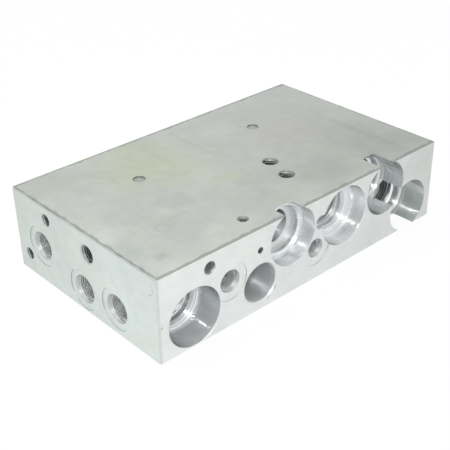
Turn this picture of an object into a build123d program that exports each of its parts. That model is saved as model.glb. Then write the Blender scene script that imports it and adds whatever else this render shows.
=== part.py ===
"""Hydraulic manifold block, machined from one piece of aluminium plate.

The block rests flat on its bottom face. Five counterbored cavities for screw-in
cartridge valves, a plain bore, two ports and two small holes open in the long front
face. Three ports and three screw holes open in the left end, and the top face has
two screw holes, a pilot hole and two shallow spots.
"""

import math
import os

from build123d import *

os.makedirs("parts", exist_ok=True)

# Block, milled square on all six faces, in millimetres
block_length = 255.0
block_depth = 152.0
block_height = 60.0
long_edge_break = 0.4
end_edge_break = 1.4
upright_edge_break = 1.2

# Drilling and deburring habits that all holes share
drill_point_angle = 118.0
mouth_break = 0.3
tool_overrun = 2.0

# Head counterbores, which clear the socket that turns a valve's hexagon
head_bore_dia = 40.4
wide_head_bore_dia = 42.8
deep_head_depth = 18.5
wide_head_depth = 12.3
shallow_head_depth = 10.6
head_floor_corner = 1.2

# Screw-in cavity below the counterbore: two seal cones, a relief, thread, nose and tip
seat_mouth_dia = 36.4
seat_cone_dia = 32.0
seat_cone_depth = 1.5
relief_dia = 29.0
relief_start = 4.0
seat_depth = 7.7
cavity_thread_dia = 27.0
cavity_thread_length = 9.3
nose_dia = 23.0
nose_length = 28.0
nose_tip_dia = 20.0
nose_tip_length = 20.0
step_angle = 30.0

# The two right cavities, with a narrower counterbore and a wider relief
right_head_bore_dia = 39.0
right_seat_mouth_dia = 35.4
right_relief_dia = 30.6
right_relief_start = 2.7

# Slip-in cavity of the middle counterbore: wide sleeve bore, flat step, inner bore
sleeve_dia = 32.2
sleeve_mouth_dia = 35.2
sleeve_mouth_depth = 1.5
sleeve_depth = 18.5
sleeve_inner_dia = 24.0
sleeve_inner_depth = 52.0

# Cavity centres on the front face: from the left end, or from the right end, and up
left_cavity_x = 27.3
left_cavity_z = 21.0
middle_cavity_x = 110.2
middle_cavity_z = 41.4
wide_cavity_x = 158.9
wide_cavity_z = 37.3
upper_right_from_end = 53.4
upper_right_z = 41.5
lower_right_from_end = 26.0
lower_right_z = 17.6

# Plain reamed bore between the left and the middle cavity
plain_bore_x = 81.3
plain_bore_z = 19.7
plain_bore_dia = 27.1
plain_bore_break = 0.9
plain_bore_depth = 62.0

# Clearance pocket that opens into the side of the wide cavity
side_pocket_x = 136.2
side_pocket_z = 41.3
side_pocket_dia = 10.2
side_pocket_depth = 5.0

# Threaded ports: a shallow spotface, a seal chamfer, the thread and its drilling
spotface_depth = 0.5
seal_chamfer_depth = 1.6
main_port_spotface_dia = 29.6
main_port_mouth_dia = 20.2
main_port_thread_dia = 18.0
main_port_thread_length = 13.0
main_port_drill_dia = 12.0
large_port_x = 55.7
large_port_z = 33.1
large_port_spotface_dia = 27.4
large_port_mouth_dia = 15.6
large_port_thread_dia = 14.0
large_port_thread_length = 13.0
large_port_drill_dia = 10.5
small_port_x = 131.6
small_port_z = 23.6
small_port_spotface_dia = 26.0
small_port_mouth_dia = 13.6
small_port_thread_dia = 12.0
small_port_thread_length = 12.0
small_port_drill_dia = 8.5
small_port_drill_depth = 30.0

# Ports in the left end: from the front face, or from the back face, and up
side_port_from_front = 41.8
side_port_z = 18.4
nose_port_from_front = 75.9
nose_port_z = 15.8
rear_port_from_back = 30.6
rear_port_z = 27.5

# Screw holes: small ones for valve covers and brackets, larger ones in the top
small_screw_dia = 8.0
small_screw_depth = 18.0
small_screw_break = 0.5
front_screw_x = 39.6
front_screw_z = 50.2
left_high_screw_from_back = 38.8
left_high_screw_z = 50.5
left_low_screw_from_back = 12.6
left_low_screw_z = 13.8
gauge_hole_from_front = 68.6
gauge_hole_z = 45.4
gauge_hole_dia = 11.6
gauge_hole_break = 0.8
gauge_hole_depth = 16.0
top_screw_dia = 10.0
top_screw_break = 0.8
top_screw_depth = 11.0
top_screw_near_x = 142.6
top_screw_near_y = 38.3
top_screw_far_x = 147.9
top_screw_far_y = 59.2

# Pilot passage: a hole from the top meets a finer one from the front
pilot_x = 80.9
pilot_y = 15.6
pilot_z = 44.1
pilot_dia = 5.0
pilot_break = 1.2
orifice_dia = 4.0

# Shallow round spots milled in the top face
spot_dia = 8.8
spot_depth = 0.6
left_spot_x = 67.1
left_spot_y = 101.5
right_spot_x = 178.3
right_spot_y = 108.1

left_end = -block_length / 2
front_face = -block_depth / 2


def on_front(x, z):
    """Place in the front face, x from the left end, looking out of the block."""
    return Plane(origin=(left_end + x, front_face, z), x_dir=(1, 0, 0), z_dir=(0, -1, 0))


def on_left(y, z):
    """Place in the left end, y from the front face, looking out of the block."""
    return Plane(origin=(left_end, front_face + y, z), x_dir=(0, -1, 0), z_dir=(-1, 0, 0))


def on_top(x, y):
    """Place in the top face, x from the left end and y from the front, looking up."""
    return Plane(origin=(left_end + x, front_face + y, block_height), z_dir=(0, 0, 1))


def drill_tip(dia):
    """Length of the cone that a drill leaves at the bottom of its hole."""
    return dia / 2 / math.tan(math.radians(drill_point_angle / 2))


def step_fall(wide_dia, narrow_dia):
    """Depth of the sloping shoulder between two bores."""
    return (wide_dia - narrow_dia) / 2 * math.tan(math.radians(step_angle))


def turned(steps):
    """Space that a turning tool clears: steps are (diameter, depth) from the mouth in."""
    outline = [(0, tool_overrun), (steps[0][0] / 2, tool_overrun)]
    outline += [(dia / 2, -depth) for dia, depth in steps]
    if steps[-1][0] > 0:
        outline.append((0, -steps[-1][1]))
    return revolve(make_face(Plane.XZ * Polyline(*outline, close=True)), axis=Axis.Z)


def drilled_end(dia, depth):
    """Last steps of a drilled hole: full width to its depth, then the drill's cone."""
    return [(dia, depth), (0, depth + drill_tip(dia))]


def head_steps(dia, depth):
    """Mouth, wall and broken floor corner of a head counterbore."""
    return [
        (dia + 2 * mouth_break, 0),
        (dia, mouth_break),
        (dia, depth - head_floor_corner),
        (dia - 2 * head_floor_corner, depth),
    ]


def screw_in_cavity(head_dia, head_depth, seat_mouth, relief, relief_fall):
    """Counterbore, seal cones, relief, thread, nose bore and tip of a cartridge cavity."""
    thread_start = head_depth + seat_depth
    relief_end = thread_start - step_fall(relief, cavity_thread_dia)
    thread_end = thread_start + cavity_thread_length
    nose_start = thread_end + step_fall(cavity_thread_dia, nose_dia)
    nose_end = thread_end + nose_length
    tip_start = nose_end + step_fall(nose_dia, nose_tip_dia)
    return turned(
        head_steps(head_dia, head_depth)
        + [
            (seat_mouth, head_depth),
            (seat_cone_dia, head_depth + seat_cone_depth),
            (relief, head_depth + relief_fall),
            (relief, relief_end),
            (cavity_thread_dia, thread_start),
            (cavity_thread_dia, thread_end),
            (nose_dia, nose_start),
            (nose_dia, nose_end),
            (nose_tip_dia, tip_start),
        ]
        + drilled_end(nose_tip_dia, nose_end + nose_tip_length)
    )


def slip_in_cavity():
    """Shallow counterbore with a wide sleeve bore, a flat step and an inner bore."""
    return turned(
        head_steps(head_bore_dia, shallow_head_depth)
        + [
            (sleeve_mouth_dia, shallow_head_depth),
            (sleeve_dia, shallow_head_depth + sleeve_mouth_depth),
            (sleeve_dia, sleeve_depth),
            (sleeve_inner_dia, sleeve_depth),
        ]
        + drilled_end(sleeve_inner_dia, sleeve_inner_depth)
    )


def port(spotface_dia, mouth_dia, thread_dia, thread_length, drill_dia, drill_depth):
    """Threaded port with a spotface and a seal chamfer, drilled on to its passage."""
    thread_start = spotface_depth + seal_chamfer_depth
    return turned(
        [
            (spotface_dia, 0),
            (spotface_dia, spotface_depth),
            (mouth_dia, spotface_depth),
            (thread_dia, thread_start),
            (thread_dia, spotface_depth + thread_length),
            (drill_dia, spotface_depth + thread_length + step_fall(thread_dia, drill_dia)),
        ]
        + drilled_end(drill_dia, drill_depth)
    )


def broken_hole(dia, edge_break, depth):
    """Drilled hole with a chamfered mouth."""
    return turned([(dia + 2 * edge_break, 0), (dia, edge_break)] + drilled_end(dia, depth))


def main_port(drill_depth):
    """Port of the left end, with its drilling run in to the passage that it feeds."""
    return port(
        main_port_spotface_dia,
        main_port_mouth_dia,
        main_port_thread_dia,
        main_port_thread_length,
        main_port_drill_dia,
        drill_depth,
    )


def blank():
    """Squared plate with its edges broken."""
    plate = Pos(0, 0, block_height / 2) * Box(block_length, block_depth, block_height)
    plate = chamfer(plate.edges().filter_by(Axis.Z), upright_edge_break)
    rims = plate.faces().filter_by(Axis.Z).edges()
    plate = chamfer(rims.filter_by(Axis.X), long_edge_break)
    top_rim = plate.faces().sort_by(Axis.Z)[-1].edges()
    return chamfer(top_rim.filter_by(Axis.Y), end_edge_break)


def valve_cavities():
    """The five counterbored cavities of the front face."""
    seat = (seat_mouth_dia, relief_dia, relief_start)
    right_seat = (right_seat_mouth_dia, right_relief_dia, right_relief_start)
    left = screw_in_cavity(head_bore_dia, deep_head_depth, *seat)
    wide = screw_in_cavity(wide_head_bore_dia, wide_head_depth, *seat)
    right = screw_in_cavity(right_head_bore_dia, deep_head_depth, *right_seat)
    return [
        on_front(left_cavity_x, left_cavity_z) * left,
        on_front(middle_cavity_x, middle_cavity_z) * slip_in_cavity(),
        on_front(wide_cavity_x, wide_cavity_z) * wide,
        on_front(block_length - upper_right_from_end, upper_right_z) * right,
        on_front(block_length - lower_right_from_end, lower_right_z) * right,
    ]


def plain_bore_and_pocket():
    """Reamed bore, and the clearance pocket beside the wide cavity."""
    bore = broken_hole(plain_bore_dia, plain_bore_break, plain_bore_depth)
    pocket = broken_hole(side_pocket_dia, mouth_break, side_pocket_depth)
    return [
        on_front(plain_bore_x, plain_bore_z) * bore,
        on_front(side_pocket_x, side_pocket_z) * pocket,
    ]


def front_ports():
    """The large port runs back to the rear port's passage, the small one is blind."""
    large = port(
        large_port_spotface_dia,
        large_port_mouth_dia,
        large_port_thread_dia,
        large_port_thread_length,
        large_port_drill_dia,
        block_depth - rear_port_from_back,
    )
    small = port(
        small_port_spotface_dia,
        small_port_mouth_dia,
        small_port_thread_dia,
        small_port_thread_length,
        small_port_drill_dia,
        small_port_drill_depth,
    )
    return [
        on_front(large_port_x, large_port_z) * large,
        on_front(small_port_x, small_port_z) * small,
    ]


def left_ports():
    """Two ports feed the left cavity, at its nose bore and at its tip; one runs behind."""
    rear_y = block_depth - rear_port_from_back
    return [
        on_left(side_port_from_front, side_port_z) * main_port(left_cavity_x),
        on_left(nose_port_from_front, nose_port_z) * main_port(left_cavity_x),
        on_left(rear_y, rear_port_z) * main_port(large_port_x),
    ]


def screw_holes():
    """Tapped holes in the front face, the left end and the top."""
    small = broken_hole(small_screw_dia, small_screw_break, small_screw_depth)
    gauge = broken_hole(gauge_hole_dia, gauge_hole_break, gauge_hole_depth)
    top = broken_hole(top_screw_dia, top_screw_break, top_screw_depth)
    return [
        on_front(front_screw_x, front_screw_z) * small,
        on_left(block_depth - left_high_screw_from_back, left_high_screw_z) * small,
        on_left(block_depth - left_low_screw_from_back, left_low_screw_z) * small,
        on_left(gauge_hole_from_front, gauge_hole_z) * gauge,
        on_top(top_screw_near_x, top_screw_near_y) * top,
        on_top(top_screw_far_x, top_screw_far_y) * top,
    ]


def pilot_passage():
    """Fine hole from the front that meets the pilot hole from the top."""
    pilot = broken_hole(pilot_dia, pilot_break, block_height - pilot_z)
    orifice = broken_hole(orifice_dia, mouth_break, pilot_y)
    return [on_top(pilot_x, pilot_y) * pilot, on_front(pilot_x, pilot_z) * orifice]


def top_spots():
    """Shallow spots with a flat milled floor."""
    spot = turned([(spot_dia, 0), (spot_dia, spot_depth)])
    return [
        on_top(left_spot_x, left_spot_y) * spot,
        on_top(right_spot_x, right_spot_y) * spot,
    ]


def manifold_block():
    """The whole block, with every hole cut from the blank."""
    block = blank()
    cuts = valve_cavities() + plain_bore_and_pocket() + front_ports() + left_ports()
    cuts += screw_holes() + pilot_passage() + top_spots()
    for cut in cuts:
        block -= cut
    return block


block = manifold_block()
export_step(block, "parts/manifold_block.step")
print("manifold block", round(block.volume), "cubic millimetres,", block.bounding_box().size)
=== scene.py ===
import math

import bmesh
import bpy
from mathutils import Matrix, Vector


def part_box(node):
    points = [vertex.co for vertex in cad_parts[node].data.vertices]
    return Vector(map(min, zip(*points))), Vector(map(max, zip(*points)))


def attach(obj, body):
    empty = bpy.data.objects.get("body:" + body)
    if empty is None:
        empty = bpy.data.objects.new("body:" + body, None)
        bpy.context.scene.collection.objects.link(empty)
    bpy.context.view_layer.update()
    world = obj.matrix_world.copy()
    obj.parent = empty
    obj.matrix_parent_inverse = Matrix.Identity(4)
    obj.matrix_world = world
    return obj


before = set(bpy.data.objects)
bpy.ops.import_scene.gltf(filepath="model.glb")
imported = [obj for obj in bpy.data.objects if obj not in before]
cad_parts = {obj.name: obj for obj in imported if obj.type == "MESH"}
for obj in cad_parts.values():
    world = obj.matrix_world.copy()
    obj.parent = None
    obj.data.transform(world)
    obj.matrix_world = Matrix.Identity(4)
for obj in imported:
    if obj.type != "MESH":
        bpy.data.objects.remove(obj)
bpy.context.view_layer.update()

# Manifold block: one piece of aluminium plate, milled square on all six faces and
# given a clear chemical conversion coat, which leaves the flat faces pale and satin
# with a grey-green cast. All its holes are cut from the solid.
mm = 0.001
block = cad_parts["manifold_block"]
block_low, block_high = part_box("manifold_block")


def node(tree, kind, feeds=None, **settings):
    """A node of a material; feeds give an input a value or another node's output."""
    made = tree.nodes.new("ShaderNode" + kind)
    for name, value in settings.items():
        setattr(made, name, value)
    for socket, feed in (feeds or {}).items():
        if isinstance(feed, bpy.types.NodeSocket):
            tree.links.new(feed, made.inputs[socket])
        else:
            made.inputs[socket].default_value = feed
    return made


def new_metal(name):
    """An empty material with its shader, and the object coordinates it reads."""
    material = bpy.data.materials.new(name)
    material.use_nodes = True
    tree = material.node_tree
    shader = tree.nodes["Principled BSDF"]
    place = node(tree, "TexCoord").outputs["Object"]
    return material, tree, shader, place


def maths(tree, operation, first, second=0.0):
    """Output of a sum on one or two values."""
    return node(tree, "Math", {0: first, 1: second}, operation=operation).outputs[0]


def vector_maths(tree, operation, first, second=(0.0, 0.0, 0.0)):
    """Output of a sum on one or two vectors: a value where it measures, and else a vector."""
    feeds = {0: first, "Scale" if operation == "SCALE" else 1: second}
    measures = operation in ("DISTANCE", "LENGTH", "DOT_PRODUCT")
    made = node(tree, "VectorMath", feeds, operation=operation)
    return made.outputs["Value" if measures else "Vector"]


def blend_colours(tree, factor, first, second):
    """Output of a colour mix between two colours or outputs."""
    mix = node(tree, "Mix", {0: factor, 6: first, 7: second}, data_type="RGBA")
    return mix.outputs[2]


def from_range(tree, value, low, high, out_low=0.0, out_high=1.0):
    """Output of a value that is stretched from one range to another and clamped."""
    feeds = {0: value, 1: low, 2: high, 3: out_low, 4: out_high}
    return node(tree, "MapRange", feeds).outputs[0]


def from_noise(tree, noise, low, high):
    """Output of a noise, which mostly lies within 0.3 to 0.7, stretched to run from low to high."""
    return from_range(tree, noise.outputs["Fac"], 0.3, 0.7, low, high)


def noise_at(tree, place, scale, detail, **feeds):
    """A noise with a number of cells in each metre."""
    return node(tree, "TexNoise", {"Vector": place, "Scale": scale, "Detail": detail, **feeds})


def strayed_by(tree, place, noise, reach):
    """The place pushed about by the colour of a noise, by up to half of reach each way."""
    push = vector_maths(tree, "SUBTRACT", noise.outputs["Color"], (0.5, 0.5, 0.5))
    push = vector_maths(tree, "SCALE", push, reach)
    return vector_maths(tree, "ADD", place, push)


def distances(tree, place, point):
    """How far a place lies from a point along each axis, without a sign."""
    apart = vector_maths(tree, "SUBTRACT", place, point)
    return vector_maths(tree, "ABSOLUTE", apart)


def near_point(tree, place, point, reach, fade):
    """Factor that is 1 within reach of a point and falls to 0 over the fade."""
    apart = vector_maths(tree, "DISTANCE", place, point)
    return from_range(tree, apart, reach + fade, reach)


def on_ring(tree, place, point, radius, width):
    """Factor that is 1 on a thin ring round a point."""
    apart = vector_maths(tree, "DISTANCE", place, point)
    off = maths(tree, "SUBTRACT", apart, radius)
    away = maths(tree, "ABSOLUTE", off)
    return from_range(tree, away, width, 0.3 * width)


def short_arc(tree, place, point, radius, width):
    """The part of a thin ring that lies towards the front face."""
    ring = on_ring(tree, place, point, radius, width)
    back = node(tree, "SeparateXYZ", {0: place}).outputs[1]
    front_side = from_range(tree, back, point.y - 0.3 * radius, point.y - 0.5 * radius)
    return maths(tree, "MULTIPLY", ring, front_side)


def long_scratch(tree, place, point, reach, width):
    """Factor that is 1 on a straight thin line from front to back through a point."""
    sides = node(tree, "SeparateXYZ", {0: distances(tree, place, point)}).outputs
    beside = from_range(tree, sides[0], width, 0.3 * width)
    along = from_range(tree, sides[1], reach, 0.6 * reach)
    return maths(tree, "MULTIPLY", beside, along)


def cutter_lines(tree, place, point, reach, fade):
    """Patch in which fine lines from front to back show."""
    patch = near_point(tree, place, point, reach, fade)
    drawn = node(tree, "Mapping", {"Vector": place, "Scale": (1500, 45, 1)}).outputs[0]
    line = from_range(tree, noise_at(tree, drawn, 1.0, 3.0).outputs["Fac"], 0.50, 0.66)
    return maths(tree, "MULTIPLY", patch, line)


def dark_rim(tree, place, point, reach, fade):
    """Factor that is 1 along the outline of a face, about reach in from its edges."""
    rim_wobble = noise_at(tree, place, 150.0, 4.0)
    rim_place = strayed_by(tree, distances(tree, place, point), rim_wobble, 5 * mm)
    sides = node(tree, "SeparateXYZ", {0: rim_place}).outputs
    half = (block_high - block_low) / 2
    long_way = from_range(tree, sides[0], half.x - reach - fade, half.x - reach)
    short_way = from_range(tree, sides[1], half.y - reach - fade, half.y - reach)
    return maths(tree, "MAXIMUM", long_way, short_way)


# A stain with a wider fade than this, in millimetres, has a ragged outline
RAGGED_FADE = 5


def flat_face_metal(name, light, dark, streaks, along, scales, marks):
    """Milled face: cloudy coat, faint cutter streaks, a slow fall of tone that is painted shade, and
    its marks.
    """
    material, tree, shader, place = new_metal(name)
    wave = noise_at(tree, place, 14.0, 4.0, Roughness=0.6).outputs["Fac"]
    colour = blend_colours(tree, from_range(tree, wave, 0.36, 0.64), dark, light)
    strayed = strayed_by(tree, place, noise_at(tree, place, 45.0, 2.0), 38 * mm)
    for kind, point, first, second, tone, strength in marks:
        where = strayed if kind is near_point and second > RAGGED_FADE else place
        reach = kind(tree, where, block_low + Vector(point) * mm, first * mm, second * mm)
        strength = maths(tree, "MULTIPLY", reach, strength)
        colour = blend_colours(tree, strength, colour, tone)
    warm, cool = (1.006, 1.0, 0.984, 1), (0.999, 1.0, 1.002, 1)
    cloud = noise_at(tree, place, 36.0, 3.0).outputs["Fac"]
    tint = blend_colours(tree, from_range(tree, cloud, 0.35, 0.65), warm, cool)
    colour = vector_maths(tree, "MULTIPLY", colour, tint)
    mottle = from_noise(tree, noise_at(tree, place, 120.0, 4.0), 0.97, 1.03)
    stretched = node(tree, "Mapping", {"Vector": place, "Scale": streaks}).outputs[0]
    streak = noise_at(tree, stretched, 1.0, 4.0, Roughness=0.6)
    line = from_noise(tree, streak, 0.975, 1.02)
    axes = node(tree, "SeparateXYZ", {0: place}).outputs
    # Painted shade: the tone falls steadily along the face, away from the end nearest the lamps.
    fall = from_range(tree, axes[along], block_low[along], block_high[along], *scales)
    scale = maths(tree, "MULTIPLY", line, fall)
    scale = maths(tree, "MULTIPLY", scale, mottle)
    colour = vector_maths(tree, "SCALE", colour, scale)
    tree.links.new(colour, shader.inputs["Base Color"])
    shader.inputs["Metallic"].default_value = 0.8
    tree.links.new(from_noise(tree, streak, 0.45, 0.53), shader.inputs["Roughness"])
    grain = noise_at(tree, place, 1100.0, 2.0)
    height = maths(tree, "ADD", streak.outputs["Fac"], grain.outputs["Fac"])
    bump = node(tree, "Bump", {"Strength": 0.1, "Distance": 0.02 * mm, "Height": height})
    tree.links.new(bump.outputs[0], shader.inputs["Normal"])
    return material


# Marks of the faces: kind, place in millimetres from the low corner, reach and fade or
# width in millimetres, tone and strength. They are stains, scratches, arcs, a dark band
# along the top's outline, and pale rings round the ports, which are painted highlights.
YELLOW, SLATE, MOSS = (0.54, 0.57, 0.43, 1), (0.46, 0.48, 0.48, 1), (0.36, 0.40, 0.36, 1)
PALE_TOP, DUSTY = (0.66, 0.68, 0.66, 1), (0.55, 0.52, 0.51, 1)
ARC_TONE, END_DENT, FRONT_DENT = (0.40, 0.52, 0.49, 1), (0.36, 0.44, 0.42, 1), (0.42, 0.46, 0.45, 1)
# Tones of the pale rings round the ports' spotfaces, which are painted highlights
END_RIM_HIGHLIGHT, FRONT_RIM_HIGHLIGHT = (0.86, 0.90, 0.88, 1), (0.97, 0.99, 0.98, 1)
TOP_MARKS = (
    (near_point, (86, 112, 60), 14, 32, YELLOW, 0.65), (near_point, (84, 146, 60), 4, 12, YELLOW, 0.5),
    (near_point, (112, 62, 60), 3, 10, YELLOW, 0.5), (near_point, (66.8, 66, 60), 7, 9, SLATE, 0.55),
    (near_point, (30, 112, 60), 4, 16, SLATE, 0.45), (near_point, (47, 30, 60), 3, 22, SLATE, 0.4),
    (near_point, (178, 92, 60), 14, 30, DUSTY, 0.35), (near_point, (34, 62, 60), 6, 20, MOSS, 0.25),
    (near_point, (24, 131, 60), 2, 14, YELLOW, 0.4), (near_point, (224, 28, 60), 3, 16, SLATE, 0.4),
    (near_point, (206, 80, 60), 6, 30, DUSTY, 0.3), (near_point, (160, 20, 60), 6, 26, MOSS, 0.25),
    (near_point, (245, 142, 60), 25, 85, PALE_TOP, 0.62),
    (near_point, (8, 142, 60), 12, 40, MOSS, 0.4),
    (near_point, (8, 36, 60), 4, 22, MOSS, 0.35), (near_point, (200, 34, 60), 16, 40, MOSS, 0.25),
    (near_point, (245, 10, 60), 8, 30, MOSS, 0.25), (near_point, (24, 100, 60), 4, 16, PALE_TOP, 0.3),
    (long_scratch, (127.6, 116, 60), 30, 1.1, MOSS, 0.25),
    (long_scratch, (229, 46, 60), 44, 4.5, MOSS, 0.22),
    (long_scratch, (96, 120, 60), 24, 0.9, MOSS, 0.18),
    (long_scratch, (54, 112, 60), 10, 0.8, MOSS, 0.3),
    (cutter_lines, (42, 30, 60), 26, 30, MOSS, 0.26), (cutter_lines, (10, 70, 60), 8, 26, MOSS, 0.2),
    (near_point, (22.2, 53.1, 60), 0.3, 0.5, MOSS, 0.9), (near_point, (14, 22, 60), 3, 6, MOSS, 0.5),
    (on_ring, (38.8, 41.8, 60), 4.4, 0.8, MOSS, 0.35), (on_ring, (50.4, 121, 60), 9, 0.5, MOSS, 0.3),
    # A dark band just inside the top face's outline.
    (dark_rim, (127.5, 76, 60), 1.5, 1.3, (0.27, 0.30, 0.27, 1), 0.68),
)
END_MARKS = (
    (short_arc, (0, 8.6, 50.3), 4.5, 0.45, ARC_TONE, 0.75),
    (near_point, (0, 7.0, 46.6), 0.5, 0.5, END_DENT, 0.6),
    (near_point, (0, 40, 30), 3, 16, (0.73, 0.80, 0.78, 1), 0.5),
    (near_point, (0, 100, 34), 2, 18, (0.60, 0.66, 0.64, 1), 0.4),
    (near_point, (0, 24, 34), 1, 5, (0.74, 0.72, 0.73, 1), 0.5),
    # Pale rings round the end ports' spotfaces: painted highlights.
    (on_ring, (0, 41.8, 18.4), 15.2, 0.45, END_RIM_HIGHLIGHT, 0.35),
    (on_ring, (0, 75.9, 15.8), 15.2, 0.45, END_RIM_HIGHLIGHT, 0.35),
    (on_ring, (0, 121.4, 27.5), 15.2, 0.45, END_RIM_HIGHLIGHT, 0.35),
)
FRONT_MARKS = (
    (near_point, (93.4, 0, 11.2), 0.9, 1.4, (0.36, 0.40, 0.40, 1), 0.5),
    (near_point, (87.4, 0, 6.6), 0.7, 1.6, (0.40, 0.44, 0.44, 1), 0.45),
    (near_point, (2.0, 0, 25.6), 0.4, 0.6, FRONT_DENT, 0.8),
    (near_point, (2.4, 0, 27.4), 0.2, 0.5, FRONT_DENT, 0.7),
    (near_point, (238, 0, 48), 6, 20, (0.70, 0.78, 0.75, 1), 0.4),
    (near_point, (190, 0, 12), 4, 14, (0.78, 0.84, 0.82, 1), 0.4),
    # Pale rings round the front ports' spotfaces: painted highlights.
    (on_ring, (55.7, 0, 33.1), 14.0, 0.4, FRONT_RIM_HIGHLIGHT, 0.35),
    (on_ring, (131.6, 0, 23.6), 13.3, 0.4, FRONT_RIM_HIGHLIGHT, 0.35),
)
# The three face metals are one coat in three tones, palest on the front and back, greyer on the ends
# and darkest on the top and bottom; these differences are partly painted shade for how the light falls
# on each face.
top_face = flat_face_metal(
    "top_face", light=(0.59, 0.62, 0.58, 1), dark=(0.49, 0.52, 0.49, 1),
    streaks=(700, 30, 700), along=0, scales=(1.08, 0.80), marks=TOP_MARKS)
milled_end = flat_face_metal(
    "milled_end", light=(0.70, 0.76, 0.73, 1), dark=(0.65, 0.71, 0.69, 1),
    streaks=(900, 60, 900), along=1, scales=(1.10, 0.96), marks=END_MARKS)
milled_front = flat_face_metal(
    "milled_front", light=(0.88, 0.91, 0.90, 1), dark=(0.83, 0.87, 0.86, 1),
    streaks=(60, 900, 900), along=0, scales=(1.02, 0.76), marks=FRONT_MARKS)


def set_bare(tree, shader, tone, roughness):
    """Sets the shader to bare cut metal of a tone."""
    tree.links.new(tone, shader.inputs["Base Color"])
    shader.inputs["Metallic"].default_value = 1.0
    shader.inputs["Roughness"].default_value = roughness


def plain_metal(name, colour, roughness, spread):
    """Cut metal with only a fine grain."""
    material, tree, shader, place = new_metal(name)
    shade = from_noise(tree, noise_at(tree, place, 500.0, 3.0), 1 - spread, 1 + spread)
    tone = vector_maths(tree, "SCALE", colour, shade)
    set_bare(tree, shader, tone, roughness)
    return material


EDGE_HEIGHT = 0.9 * mm


def edge_metal(name, upper, lower, high, low):
    """Broken edge: painted shade, dark at the upper line and lighter towards the lower line, with
    dents along it.
    """
    material, tree, shader, place = new_metal(name)
    level = node(tree, "SeparateXYZ", {0: place}).outputs[2]
    dent = 0.35 * (high - low)
    shift = from_noise(tree, noise_at(tree, place, 110.0, 4.0), -dent, dent)
    level = maths(tree, "ADD", level, shift)
    tone = blend_colours(tree, from_range(tree, level, low, high), lower, upper)
    set_bare(tree, shader, tone, 0.45)
    return material


# The broken edges are one bare metal in three tones, set by how the light falls on each as painted
# shade: dark on the long edges, lighter on the upright ones, and on the ends dark at the top line and
# lighter below it.
top_edge = plain_metal("top_edge", (0.36, 0.39, 0.37), 0.45, 0.2)
end_edge = edge_metal(
    "end_edge", (0.26, 0.29, 0.27, 1), (0.58, 0.61, 0.59, 1), block_high.z, block_high.z - EDGE_HEIGHT)
upright_edge = plain_metal("upright_edge", (0.68, 0.73, 0.71), 0.45, 0.05)

# Holes of the block: valve cavities, ports, screw holes and spots, drilled, bored and
# reamed after the faces were milled. The smooth cut of the tools leaves them bright.
# Each is given by its mouth on the axis and the way it runs in.
INTO_FRONT, INTO_LEFT, INTO_TOP = Vector((0, 1, 0)), Vector((1, 0, 0)), Vector((0, 0, -1))
front_y, left_x, top_z = block_low.y, block_low.x, block_high.z


def front_hole(x, z):
    return Vector((left_x + x * mm, front_y, z * mm)), INTO_FRONT


def left_hole(y, z):
    return Vector((left_x, front_y + y * mm, z * mm)), INTO_LEFT


def top_hole(x, y):
    return Vector((left_x + x * mm, front_y + y * mm, top_z)), INTO_TOP


def into_hole(tree, place, hole):
    """The way from a hole's mouth to a place, and its depth in the hole."""
    mouth, inward = hole
    arm = vector_maths(tree, "SUBTRACT", place, mouth)
    depth = vector_maths(tree, "DOT_PRODUCT", inward, arm)
    return arm, depth


RINGS_A_METRE, TOOL_LINES_A_METRE = 2200.0, 16000.0
# Depths between which a bore takes its deep tone, a painted shade
DEEP_START, DEEP_END = 16 * mm, 20 * mm


def turned_metal(name, hole, colour, roughness, flare, rings=0.05, inside=1.0):
    """Bored surface: fine rings round the axis spread each glint, and inside scales the deep tone, a
    painted shade.
    """
    material, tree, shader, place = new_metal(name)
    arm, depth = into_hole(tree, place, hole)
    around = vector_maths(tree, "CROSS_PRODUCT", hole[1], arm)
    radius = vector_maths(tree, "LENGTH", around)
    ring = maths(tree, "ADD", radius, depth)
    feeds = {"W": ring, "Scale": RINGS_A_METRE, "Detail": 3.0}
    lines = node(tree, "TexNoise", feeds, noise_dimensions="1D")
    shade = from_noise(tree, lines, 1 - rings, 1 + 0.6 * rings)
    painted_deep_shade = from_range(tree, depth, DEEP_START, DEEP_END, 1.0, inside)
    shade = maths(tree, "MULTIPLY", shade, painted_deep_shade)
    tone = vector_maths(tree, "SCALE", colour, shade)
    set_bare(tree, shader, tone, roughness)
    groove = vector_maths(tree, "NORMALIZE", around)
    upright = node(tree, "NewGeometry").outputs["Normal"]
    across = vector_maths(tree, "CROSS_PRODUCT", groove, upright)
    feeds = {"W": ring, "Scale": TOOL_LINES_A_METRE, "Detail": 0.0}
    tool_line = node(tree, "TexNoise", feeds, noise_dimensions="1D").outputs["Fac"]
    lean = from_range(tree, tool_line, 0.0, 1.0, -0.5 * flare, 0.5 * flare)
    lean = vector_maths(tree, "SCALE", across, lean)
    bent = vector_maths(tree, "ADD", upright, lean)
    bent = vector_maths(tree, "NORMALIZE", bent)
    tree.links.new(bent, shader.inputs["Normal"])
    return material


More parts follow.
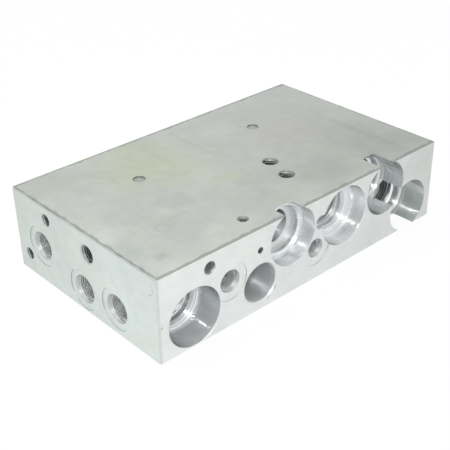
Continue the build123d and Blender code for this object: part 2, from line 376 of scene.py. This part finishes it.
# These cut metals are one bare aluminium. The darker tones, on the drilled bore, the thread roots and
# flanks, the tapped walls and flanks, the mouths and the spotface walls, are painted shade for the
# light that reaches less far into holes and grooves; the right cavities' thread metals are a darker
# copy, also painted shade.
drilled_bore = plain_metal("drilled_bore", (0.62, 0.63, 0.64), 0.45, 0.06)
valve_root = plain_metal("valve_root", (0.50, 0.52, 0.52), 0.40, 0.06)
valve_crest = plain_metal("valve_crest", (0.92, 0.92, 0.94), 0.35, 0.06)
shaded_valve_root = plain_metal("shaded_valve_root", (0.36, 0.38, 0.38), 0.42, 0.06)
shaded_valve_crest = plain_metal("shaded_valve_crest", (0.80, 0.82, 0.82), 0.30, 0.06)
port_bore = plain_metal("port_bore", (0.93, 0.95, 0.95), 0.40, 0.06)
port_crest = plain_metal("port_crest", (0.97, 0.98, 0.98), 0.45, 0.02)
step_face = plain_metal("step_face", (0.99, 0.99, 0.99), 0.6, 0.01)
tapped_wall = plain_metal("tapped_wall", (0.12, 0.14, 0.13), 0.40, 0.1)
tapped_flank = plain_metal("tapped_flank", (0.34, 0.37, 0.36), 0.45, 0.1)
tapped_crest = plain_metal("tapped_crest", (0.94, 0.97, 0.96), 0.30, 0.03)
fine_wall = plain_metal("fine_wall", (0.95, 0.97, 0.96), 0.35, 0.03)
broken_mouth = plain_metal("broken_mouth", (0.29, 0.32, 0.31), 0.5, 0.08)
side_mouth = plain_metal("side_mouth", (0.50, 0.54, 0.52), 0.5, 0.08)
spotface_wall = plain_metal("spotface_wall", (0.56, 0.60, 0.58), 0.5, 0.08)

# Depths in a port between which its painted shade at the first turn gives way to bright metal
FIRST_TURN_END, BRIGHT_FROM = 3.4 * mm, 5.0 * mm


def port_metal(name, hole):
    """Wall and thread flanks of a port: darkened by painted shade at the first turn and bright further
    in.
    """
    material, tree, shader, place = new_metal(name)
    depth = into_hole(tree, place, hole)[1]
    further_in = from_range(tree, depth, FIRST_TURN_END, BRIGHT_FROM)
    tone = blend_colours(tree, further_in, (0.76, 0.79, 0.79, 1), (1.0, 1.0, 1.0, 1))
    set_bare(tree, shader, tone, 0.55)
    return material


def spot_metal(name, hole):
    """Floor of a milled spot: a painted reflection, pale in the middle and darker towards its wall."""
    material, tree, shader, place = new_metal(name)
    middle = near_point(tree, place, hole[0], 1.0 * mm, 2.8 * mm)
    tone = blend_colours(tree, middle, (0.34, 0.37, 0.33, 1), (0.41, 0.45, 0.40, 1))
    set_bare(tree, shader, tone, 0.4)
    return material


# Stretches of a hole by the depth where each ends, from the mouth in, in millimetres.
# Each has a shared metal, or the tone, roughness, flare, rings and painted deep shade of one turned
# for it.
# The tones of the one bored metal differ between cavities and between stretches; the darker ones are
# painted shade.
ICE, SILVER, WHITE = (0.96, 0.99, 1.0), (0.96, 0.97, 0.98), (0.93, 0.94, 0.95)
CHALK, PEARL, DOVE = (0.91, 0.93, 0.94), (0.90, 0.92, 0.93), (0.84, 0.86, 0.87)
PALE, STEEL, ASH = (0.80, 0.82, 0.83), (0.74, 0.77, 0.77), (0.73, 0.76, 0.76)
LEAD, GREY = (0.66, 0.69, 0.69), (0.60, 0.63, 0.62)
left_cavity = (
    (0.2, milled_front), (17.2, (PALE, 0.11, 3.0)), (22.6, (PALE, 0.20, 2.8, 0.10)),
    (26.0, (SILVER, 0.25, 2.0)), (35.6, valve_root), (91, drilled_bore))
middle_cavity = (
    (0.2, milled_front), (9.3, (PEARL, 0.14, 3.0)), (12.2, (DOVE, 0.20, 2.8, 0.10)),
    (18.3, (LEAD, 0.20, 2.0)), (18.6, step_face), (60, (SILVER, 0.25, 2.0)))
wide_cavity = (
    (0.2, milled_front), (11.0, (WHITE, 0.13, 3.0)), (16.4, (CHALK, 0.20, 2.8, 0.08)),
    (19.8, (SILVER, 0.40, 3.2)), (29.4, valve_root), (84, drilled_bore))
upper_right_cavity = (
    (0.2, milled_front), (17.2, (ASH, 0.11, 3.0)), (21.3, (GREY, 0.20, 2.8, 0.10)),
    (26.0, (SILVER, 0.25, 2.0)), (35.6, shaded_valve_root), (91, drilled_bore))
lower_right_cavity = (upper_right_cavity[0], (17.2, (LEAD, 0.11, 3.0)), *upper_right_cavity[2:])
# The plain bore's inner stretch darkens to 0.62 of its tone from 16 to 20 mm in: painted shade.
plain_bore = ((0.9, (STEEL, 0.35, 1.0)), (71, (ICE, 0.34, 3.2, 0.05, 0.62)))
seal_chamfer = (2.2, (GREY, 0.42, 1.4, 0.16))
end_port = (
    (0.45, spotface_wall), (0.6, milled_end), seal_chamfer, (13.6, port_metal), (60, port_bore))
front_port = (
    (0.45, spotface_wall), (0.6, milled_front), seal_chamfer, (13.6, port_metal), (126, port_bore))
small_screw = ((0.5, side_mouth), (22, tapped_wall))
gauge_screw = ((0.8, side_mouth), (22, tapped_wall))
top_screw = ((0.8, broken_mouth), (16, tapped_wall))

# Each hole's place, its widest radius in millimetres and its stretches.
holes = {
    "left_cavity": (front_hole(27.3, 21.0), 20.6, left_cavity),
    "middle_cavity": (front_hole(110.2, 41.4), 20.6, middle_cavity),
    "wide_cavity": (front_hole(158.9, 37.3), 21.8, wide_cavity),
    "upper_right_cavity": (front_hole(201.6, 41.5), 19.9, upper_right_cavity),
    "lower_right_cavity": (front_hole(229.0, 17.6), 19.9, lower_right_cavity),
    "plain_bore": (front_hole(81.3, 19.7), 14.6, plain_bore),
    "side_pocket": (front_hole(136.2, 41.3), 5.6, ((9, (SILVER, 0.40, 3.2)),)),
    "large_port": (front_hole(55.7, 33.1), 13.9, front_port),
    "small_port": (front_hole(131.6, 23.6), 13.2, front_port),
    "side_port": (left_hole(41.8, 18.4), 15.0, end_port),
    "nose_port": (left_hole(75.9, 15.8), 15.0, end_port),
    "rear_port": (left_hole(121.4, 27.5), 15.0, end_port),
    "front_screw_hole": (front_hole(39.6, 50.2), 4.7, small_screw),
    "left_high_screw_hole": (left_hole(113.2, 50.5), 4.7, small_screw),
    "left_low_screw_hole": (left_hole(139.4, 13.8), 4.7, small_screw),
    "gauge_hole": (left_hole(68.6, 45.4), 6.8, gauge_screw),
    "top_near_screw_hole": (top_hole(142.6, 38.3), 6.0, top_screw),
    "top_far_screw_hole": (top_hole(147.9, 59.2), 6.0, top_screw),
    "pilot_hole": (top_hole(80.9, 15.6), 3.9, ((1.2, broken_mouth), (19, fine_wall))),
    "orifice": (front_hole(80.9, 44.1), 2.5, ((0.3, broken_mouth), (19, fine_wall))),
    "left_spot": (top_hole(67.1, 101.5), 4.6, ((1, spot_metal),)),
    "right_spot": (top_hole(178.3, 108.1), 4.6, ((1, spot_metal),)),
}
for name, (place, reach, stretches) in holes.items():
    finished = []
    for index, (end, metal) in enumerate(stretches):
        if isinstance(metal, tuple):
            metal = turned_metal(f"turned_{name}_{index}", place, *metal)
        elif callable(metal):
            metal = metal(f"{name}_metal", place)
        finished.append((end, metal))
    holes[name] = (place, reach, finished)

PLANES = (
    (0, block_low.x, milled_end), (0, block_high.x, milled_end),
    (1, block_low.y, milled_front), (1, block_high.y, milled_front),
    (2, block_low.z, top_face), (2, block_high.z, top_face),
)
PLANE_SLACK, MOUTH_SLACK = 0.05 * mm, 0.1 * mm
# Limits on how far a face turns towards a side or an axis, as a share of its normal
SQUARE_ON, SIDEWAYS, UPRIGHT, ENDWAYS = 0.999, 0.15, 0.1, 0.5


def finish_of(face):
    """The metal of a face of the block, by where it lies."""
    centre, normal = face.center, face.normal
    for axis, level, metal in PLANES:
        if abs(normal[axis]) > SQUARE_ON and abs(centre[axis] - level) < PLANE_SLACK:
            return metal
    best, choice = SIDEWAYS, None
    for (mouth, inward), reach, stretches in holes.values():
        arm = centre - mouth
        depth = arm.dot(inward)
        out = arm - inward * depth
        if -MOUTH_SLACK < depth < stretches[-1][0] * mm and 0 < out.length < reach * mm:
            sideways = abs(normal.dot(inward.cross(out).normalized()))
            if sideways < best:
                best = sideways
                choice = next(metal for end, metal in stretches if depth < end * mm)
    if choice:
        return choice
    if abs(normal.z) < UPRIGHT:
        return upright_edge
    return end_edge if abs(normal.x) > ENDWAYS else top_edge


block.data.materials.clear()
places = {}
for face in block.data.polygons:
    metal = finish_of(face)
    if metal.name not in places:
        places[metal.name] = len(places)
        block.data.materials.append(metal)
    face.material_index = places[metal.name]

# Threads: the turns cut by taps in the ports, the cavities and the screw holes. Each is
# one helical ridge on the wall of its hole, which fades in and out over its first turn.
TURN_STEPS = 40
RIDGE_SINK = 0.03 * mm
# Depth of the ridge, half of its base and half of its crest, as shares of the pitch
RIDGE_DEPTH, RIDGE_BASE, RIDGE_CREST = 0.54, 0.4375, 0.125
# Most threads' flank metals are darker than their crests: painted shade in the grooves.
# Share of the ridge's depth, from its crest, that has the crest's metal
CREST_SHARE = 0.2


def thread(name, hole, size, metals):
    """Sweeps a ridge's section round the hole's axis and in along it; metals are flank and crest."""
    radius, pitch, start, end = size
    mouth, inward = hole
    wall, crest = radius * mm, (radius - RIDGE_DEPTH * pitch) * mm
    begin, stop, lead = start * mm, end * mm, pitch * mm
    turns = (stop - begin) / lead - 2 * RIDGE_BASE
    steps = round(turns * TURN_STEPS)
    mesh = bmesh.new()
    middle = begin + RIDGE_BASE * lead
    section = [
        (wall, middle - RIDGE_BASE * lead), (crest, middle - RIDGE_CREST * lead),
        (crest, middle + RIDGE_CREST * lead), (wall, middle + RIDGE_BASE * lead),
    ]
    corners = [mesh.verts.new((out, 0, depth)) for out, depth in section]
    rim = [mesh.edges.new((corners[i], corners[(i + 1) % 4])) for i in range(4)]
    bmesh.ops.spin(
        mesh, geom=corners + rim, cent=(0, 0, 0), axis=(0, 0, 1),
        dvec=(0, 0, lead / TURN_STEPS), angle=math.tau * steps / TURN_STEPS, steps=steps)
    ends = [edge for edge in mesh.edges if edge.is_boundary]
    bmesh.ops.holes_fill(mesh, edges=ends, sides=4)
    for face in mesh.faces:
        centre = face.calc_center_median()
        full = begin + lead < centre.z < stop - lead
        on_crest = math.hypot(centre.x, centre.y) < crest + CREST_SHARE * (wall - crest)
        face.material_index = int(full and on_crest)
    for corner in mesh.verts:
        reach = math.hypot(corner.co.x, corner.co.y)
        fade = min((corner.co.z - begin) / lead, (stop - corner.co.z) / lead, 1.0)
        kept = wall - (wall - reach) * max(fade, 0.0) + RIDGE_SINK
        corner.co.x *= kept / reach
        corner.co.y *= kept / reach
    bmesh.ops.recalc_face_normals(mesh, faces=mesh.faces)
    turn = Vector((0, 0, 1)).rotation_difference(inward).to_matrix().to_4x4()
    bmesh.ops.transform(mesh, matrix=Matrix.Translation(mouth) @ turn, verts=mesh.verts)
    data = bpy.data.meshes.new(name)
    mesh.to_mesh(data)
    mesh.free()
    for metal in metals:
        data.materials.append(metal)
    piece = bpy.data.objects.new(name, data)
    bpy.context.scene.collection.objects.link(piece)
    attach(piece, "root")


# Radius, pitch, start and end of each thread in millimetres, and its flank and crest
# metals. A port's flanks have the metal of its wall.
# The right cavities' thread metals are a darker copy of the valve ones: painted shade.
VALVE, SHADED_VALVE, PORT = (valve_root, valve_crest), (shaded_valve_root, shaded_valve_crest), (None, port_crest)
TAPPED = (tapped_flank, tapped_crest)
MAIN_PORT, SMALL_SCREW = (9.0, 1.5, 2.1, 13.5), (4.0, 1.25, 0.5, 18.0)
DEEP_VALVE, TOP_SCREW = (13.5, 2.117, 26.2, 35.5), (5.0, 1.5, 0.8, 11.0)
THREADS = {
    "left_cavity": (DEEP_VALVE, VALVE),
    "wide_cavity": ((13.5, 2.117, 20.0, 29.3), VALVE),
    "upper_right_cavity": (DEEP_VALVE, SHADED_VALVE),
    "lower_right_cavity": (DEEP_VALVE, SHADED_VALVE),
    "large_port": ((7.0, 1.5, 2.1, 13.5), PORT),
    "small_port": ((6.0, 1.5, 2.1, 12.5), PORT),
    "side_port": (MAIN_PORT, PORT),
    "nose_port": (MAIN_PORT, PORT),
    "rear_port": (MAIN_PORT, PORT),
    "front_screw_hole": (SMALL_SCREW, TAPPED),
    "left_high_screw_hole": (SMALL_SCREW, TAPPED),
    "left_low_screw_hole": (SMALL_SCREW, TAPPED),
    "gauge_hole": ((5.8, 1.5, 0.8, 16.0), TAPPED),
    "top_near_screw_hole": (TOP_SCREW, TAPPED),
    "top_far_screw_hole": (TOP_SCREW, TAPPED),
}
for name, (size, (flank, crest)) in THREADS.items():
    wall = next(metal for end, metal in holes[name][2] if end > size[2])
    thread(name + "_thread", holes[name][0], size, (flank or wall, crest))

# Floor and backdrop: a plain white sweep that the block stands on. It shows white to
# the camera and in the metal, and keeps the block's soft shadow.
SWEEP_HALF, WHITE_SHARE, SWEEP_GLOW = 3.0, 0.9, 1.03


def seen_straight(tree):
    """Factor that is 1 for what the camera sees, also in metal."""
    ray = node(tree, "LightPath").outputs
    seen = maths(tree, "MAXIMUM", ray["Is Camera Ray"], ray["Is Glossy Ray"])
    return maths(tree, "MAXIMUM", seen, ray["Is Transmission Ray"])


floor_mesh = bmesh.new()
bmesh.ops.create_grid(floor_mesh, x_segments=1, y_segments=1, size=SWEEP_HALF)
floor_data = bpy.data.meshes.new("floor")
floor_mesh.to_mesh(floor_data)
floor_mesh.free()
floor = bpy.data.objects.new("floor", floor_data)
bpy.context.scene.collection.objects.link(floor)
floor_paint = bpy.data.materials.new("floor_paint")
floor_paint.use_nodes = True
paint = floor_paint.node_tree
paint.nodes.remove(paint.nodes["Principled BSDF"])
glow = maths(paint, "MULTIPLY", seen_straight(paint), WHITE_SHARE)
matte = node(paint, "BsdfDiffuse", {"Color": (0.8, 0.8, 0.8, 1)})
white = node(paint, "Emission", {"Color": (1, 1, 1, 1), "Strength": SWEEP_GLOW})
both = node(paint, "MixShader", {0: glow, 1: matte.outputs[0], 2: white.outputs[0]})
paint.links.new(both.outputs[0], paint.nodes["Material Output"].inputs["Surface"])
floor_data.materials.append(floor_paint)

# Studio light: an even white room, a small key lamp that draws the glints in the bores,
# a wide fill beside it and a soft lamp overhead.
ROOM_LIGHT, ROOM_WHITE = 0.7, 1.0
BLOCK_MIDDLE = Vector((0, 0, 0.03))
world = bpy.data.worlds.new("studio")
bpy.context.scene.world = world
world.use_nodes = True
sky = world.node_tree
level = from_range(sky, seen_straight(sky), 0.0, 1.0, ROOM_LIGHT, ROOM_WHITE)
sky.nodes["Background"].inputs["Color"].default_value = (1, 1, 1, 1)
sky.links.new(level, sky.nodes["Background"].inputs["Strength"])


def softbox(name, place, size, power):
    """A square studio lamp that faces the middle of the block."""
    lamp = bpy.data.lights.new(name, "AREA")
    lamp.size, lamp.energy = size, power
    stand = bpy.data.objects.new(name, lamp)
    bpy.context.scene.collection.objects.link(stand)
    stand.location = place
    aim = BLOCK_MIDDLE - Vector(place)
    stand.rotation_euler = aim.to_track_quat("-Z", "Y").to_euler()


softbox("key_softbox", (-0.7, -1.0, 0.85), 0.06, 4.0)
softbox("fill_softbox", (-0.65, -1.1, 1.0), 0.8, 1.0)
softbox("overhead_softbox", (-0.3, 0.2, 1.5), 1.0, 4.0)

# Camera: at the photograph's place, above the corner between the front and the left
# end, with its place and direction worked out from the block's own edges.
camera = bpy.data.objects.new("camera", bpy.data.cameras.new("camera"))
bpy.context.scene.collection.objects.link(camera)
camera.data.sensor_width = 36.0
camera.data.lens = 73.2315
camera.data.clip_start = 0.01
camera_right = Vector((0.7376007, -0.6750630, -0.0153326))
camera_up = Vector((0.3554914, 0.3689184, 0.8587928))
camera_back = Vector((-0.5740828, -0.6388968, 0.5120936))
camera_place = Vector((-0.37869, -0.41338, 0.34470))
turn = Matrix((camera_right, camera_up, camera_back)).transposed().to_4x4()
camera.matrix_world = Matrix.Translation(camera_place) @ turn
bpy.context.scene.camera = camera
bpy.context.scene.view_settings.view_transform = "Standard"
